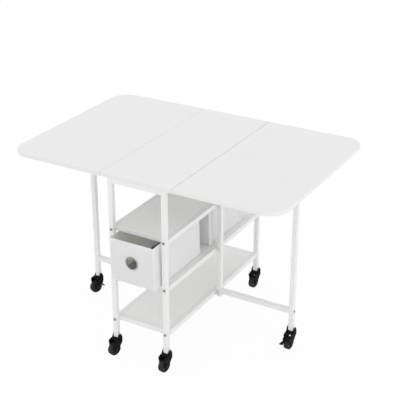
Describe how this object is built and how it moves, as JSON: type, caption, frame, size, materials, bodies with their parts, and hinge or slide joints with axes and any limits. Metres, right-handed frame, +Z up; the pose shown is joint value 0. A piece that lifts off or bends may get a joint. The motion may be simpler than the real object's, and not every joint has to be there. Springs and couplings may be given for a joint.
{
  "type": "drop-leaf table",
  "caption": "Rolling drop-leaf table: a narrow shelved steel cart with slide-out fabric bins under a fixed panel and hinged leaves carried by swing gates on casters.",
  "frame": {"origin": "floor level under the middle of the table's overall box", "axes": "+X towards the right leaf along the tabletop's length, +Y away from the end with the pulled-out bin, +Z up"},
  "size_m": [1.195, 0.8464, 0.806],
  "materials": {
    "top_laminate": "smooth white laminate",
    "shelf_laminate": "satin white laminate",
    "white_tube": "satin powder coat",
    "white_plastic": "satin",
    "caster_plastic": "fine grain",
    "wheel_plastic": "smooth tread",
    "plain_steel": "zinc plated",
    "dark_steel": "zinc plated",
    "black_steel": "black oxide",
    "hinge_steel": "satin",
    "grommet_metal": "polished",
    "bin_fabric": "plain weave",
    "fibre_board": "raw"
  },
  "bodies": {
    "cart": {"leg_front_left": "white_tube", "leg_front_right": "white_tube", "leg_back_left": "white_tube", "leg_back_right": "white_tube", "leg_end_plugs": "white_plastic", "top_frame": "white_tube", "upper_shelf_frame": "white_tube", "middle_shelf_frame": "white_tube", "bottom_shelf_frame": "white_tube", "upper_shelf_board": "shelf_laminate", "middle_shelf_board": "shelf_laminate", "bottom_shelf_board": "shelf_laminate", "centre_panel": "top_laminate", "top_screws": "dark_steel", "leg_bolts": "dark_steel", "centre_hinge_plates": "hinge_steel", "gate_rail_hinge_plates": "hinge_steel", "hinge_pins": "plain_steel"},
    "right_drop_leaf": {"right_leaf": "top_laminate", "right_leaf_hinge_plates": "hinge_steel"},
    "right_gate": {"right_gate_post": "white_tube", "right_gate_leg": "white_tube", "right_gate_bars": "white_tube", "right_gate_hinge_plates": "hinge_steel", "right_gate_caps": "white_plastic", "right_gate_bolts": "dark_steel"},
    "left_drop_leaf": {"left_leaf": "top_laminate", "left_leaf_hinge_plates": "hinge_steel"},
    "left_gate": {"left_gate_post": "white_tube", "left_gate_leg": "white_tube", "left_gate_bars": "white_tube", "left_gate_hinge_plates": "hinge_steel", "left_gate_caps": "white_plastic", "left_gate_bolts": "dark_steel"},
    "front_left_swivel": {"caster_front_left_fork": "caster_plastic", "caster_front_left_pins": "black_steel"},
    "front_left_wheel": {"caster_front_left_wheel": "wheel_plastic"},
    "front_right_swivel": {"caster_front_right_fork": "caster_plastic", "caster_front_right_pins": "black_steel"},
    "front_right_wheel": {"caster_front_right_wheel": "wheel_plastic"},
    "back_left_swivel": {"caster_back_left_fork": "caster_plastic", "caster_back_left_pins": "black_steel"},
    "back_left_wheel": {"caster_back_left_wheel": "wheel_plastic"},
    "back_right_swivel": {"caster_back_right_fork": "caster_plastic", "caster_back_right_pins": "black_steel"},
    "back_right_wheel": {"caster_back_right_wheel": "wheel_plastic"},
    "gate_left_swivel": {"caster_gate_left_fork": "caster_plastic", "caster_gate_left_pins": "black_steel"},
    "gate_left_wheel": {"caster_gate_left_wheel": "wheel_plastic"},
    "gate_left_brake": {"caster_gate_left_pedal": "caster_plastic"},
    "gate_right_swivel": {"caster_gate_right_fork": "caster_plastic", "caster_gate_right_pins": "black_steel"},
    "gate_right_wheel": {"caster_gate_right_wheel": "wheel_plastic"},
    "gate_right_brake": {"caster_gate_right_pedal": "caster_plastic"},
    "front_basket": {"front_bin": "bin_fabric", "front_bin_base": "fibre_board", "front_bin_grommet": "grommet_metal"},
    "back_basket": {"back_bin": "bin_fabric", "back_bin_base": "fibre_board", "back_bin_grommet": "grommet_metal"}
  },
  "joints": [
    {"name": "right_leaf_lift", "type": "hinge", "parent": "cart", "child": "right_drop_leaf", "pos_m": [0.1585, 0.01525, 0.787], "axis": [0, -1, 0], "range_deg": [0, 2.5]},
    {"name": "right_gate_swing", "type": "hinge", "parent": "cart", "child": "right_gate", "pos_m": [0.132, 0.01225, 0.3], "axis": [0, 0, 1], "range_deg": [-90, 0]},
    {"name": "left_leaf_lift", "type": "hinge", "parent": "cart", "child": "left_drop_leaf", "pos_m": [-0.1585, 0.01525, 0.787], "axis": [0, 1, 0], "range_deg": [0, 2.5]},
    {"name": "left_gate_swing", "type": "hinge", "parent": "cart", "child": "left_gate", "pos_m": [-0.132, 0.01825, 0.3], "axis": [0, 0, 1], "range_deg": [-90, 0]},
    {"name": "front_left_swivel_turn", "type": "hinge", "parent": "cart", "child": "front_left_swivel", "pos_m": [-0.119, -0.37175, 0.08], "axis": [0, 0, 1], "continuous": true},
    {"name": "front_left_wheel_roll", "type": "hinge", "parent": "front_left_swivel", "child": "front_left_wheel", "pos_m": [-0.1234, -0.38817, 0.027], "axis": [0.9659, -0.2588, 0], "continuous": true},
    {"name": "front_right_swivel_turn", "type": "hinge", "parent": "cart", "child": "front_right_swivel", "pos_m": [0.119, -0.37175, 0.08], "axis": [0, 0, -1], "continuous": true},
    {"name": "front_right_wheel_roll", "type": "hinge", "parent": "front_right_swivel", "child": "front_right_wheel", "pos_m": [0.11634, -0.38854, 0.027], "axis": [0.9877, -0.1564, 0], "continuous": true},
    {"name": "back_left_swivel_turn", "type": "hinge", "parent": "cart", "child": "back_left_swivel", "pos_m": [-0.119, 0.40225, 0.08], "axis": [0, 0, 1], "continuous": true},
    {"name": "back_left_wheel_roll", "type": "hinge", "parent": "back_left_swivel", "child": "back_left_wheel", "pos_m": [-0.10258, 0.39785, 0.027], "axis": [0.2588, 0.9659, 0], "continuous": true},
    {"name": "back_right_swivel_turn", "type": "hinge", "parent": "cart", "child": "back_right_swivel", "pos_m": [0.119, 0.40225, 0.08], "axis": [0, 0, -1], "continuous": true},
    {"name": "back_right_wheel_roll", "type": "hinge", "parent": "back_right_swivel", "child": "back_right_wheel", "pos_m": [0.11693, 0.38538, 0.027], "axis": [0.9925, -0.1219, 0], "continuous": true},
    {"name": "gate_left_swivel_turn", "type": "hinge", "parent": "left_gate", "child": "gate_left_swivel", "pos_m": [-0.476, 0.00525, 0.08], "axis": [0, 0, 1], "continuous": true},
    {"name": "gate_left_wheel_roll", "type": "hinge", "parent": "gate_left_swivel", "child": "gate_left_wheel", "pos_m": [-0.48209, -0.01062, 0.027], "axis": [0.9336, -0.3584, 0], "continuous": true},
    {"name": "gate_left_brake_release", "type": "hinge", "parent": "gate_left_swivel", "child": "gate_left_brake", "pos_m": [-0.47277, 0.01365, 0.05], "axis": [0.9336, -0.3584, 0], "range_deg": [0, 14]},
    {"name": "gate_right_swivel_turn", "type": "hinge", "parent": "right_gate", "child": "gate_right_swivel", "pos_m": [0.476, 0.02525, 0.08], "axis": [0, 0, -1], "continuous": true},
    {"name": "gate_right_wheel_roll", "type": "hinge", "parent": "gate_right_swivel", "child": "gate_right_wheel", "pos_m": [0.47481, 0.00829, 0.027], "axis": [0.9976, -0.0698, 0], "continuous": true},
    {"name": "gate_right_brake_release", "type": "hinge", "parent": "gate_right_swivel", "child": "gate_right_brake", "pos_m": [0.47335, -0.01266, 0.051], "axis": [-0.9976, 0.0698, 0], "range_deg": [0, 14]},
    {"name": "front_bin_slide", "type": "slide", "parent": "cart", "child": "front_basket", "axis": [0, -1, 0], "range_m": [-0.04, 0.25]},
    {"name": "back_bin_slide", "type": "slide", "parent": "cart", "child": "back_basket", "axis": [0, 1, 0], "range_m": [-0.025, 0.3]}
  ]
}
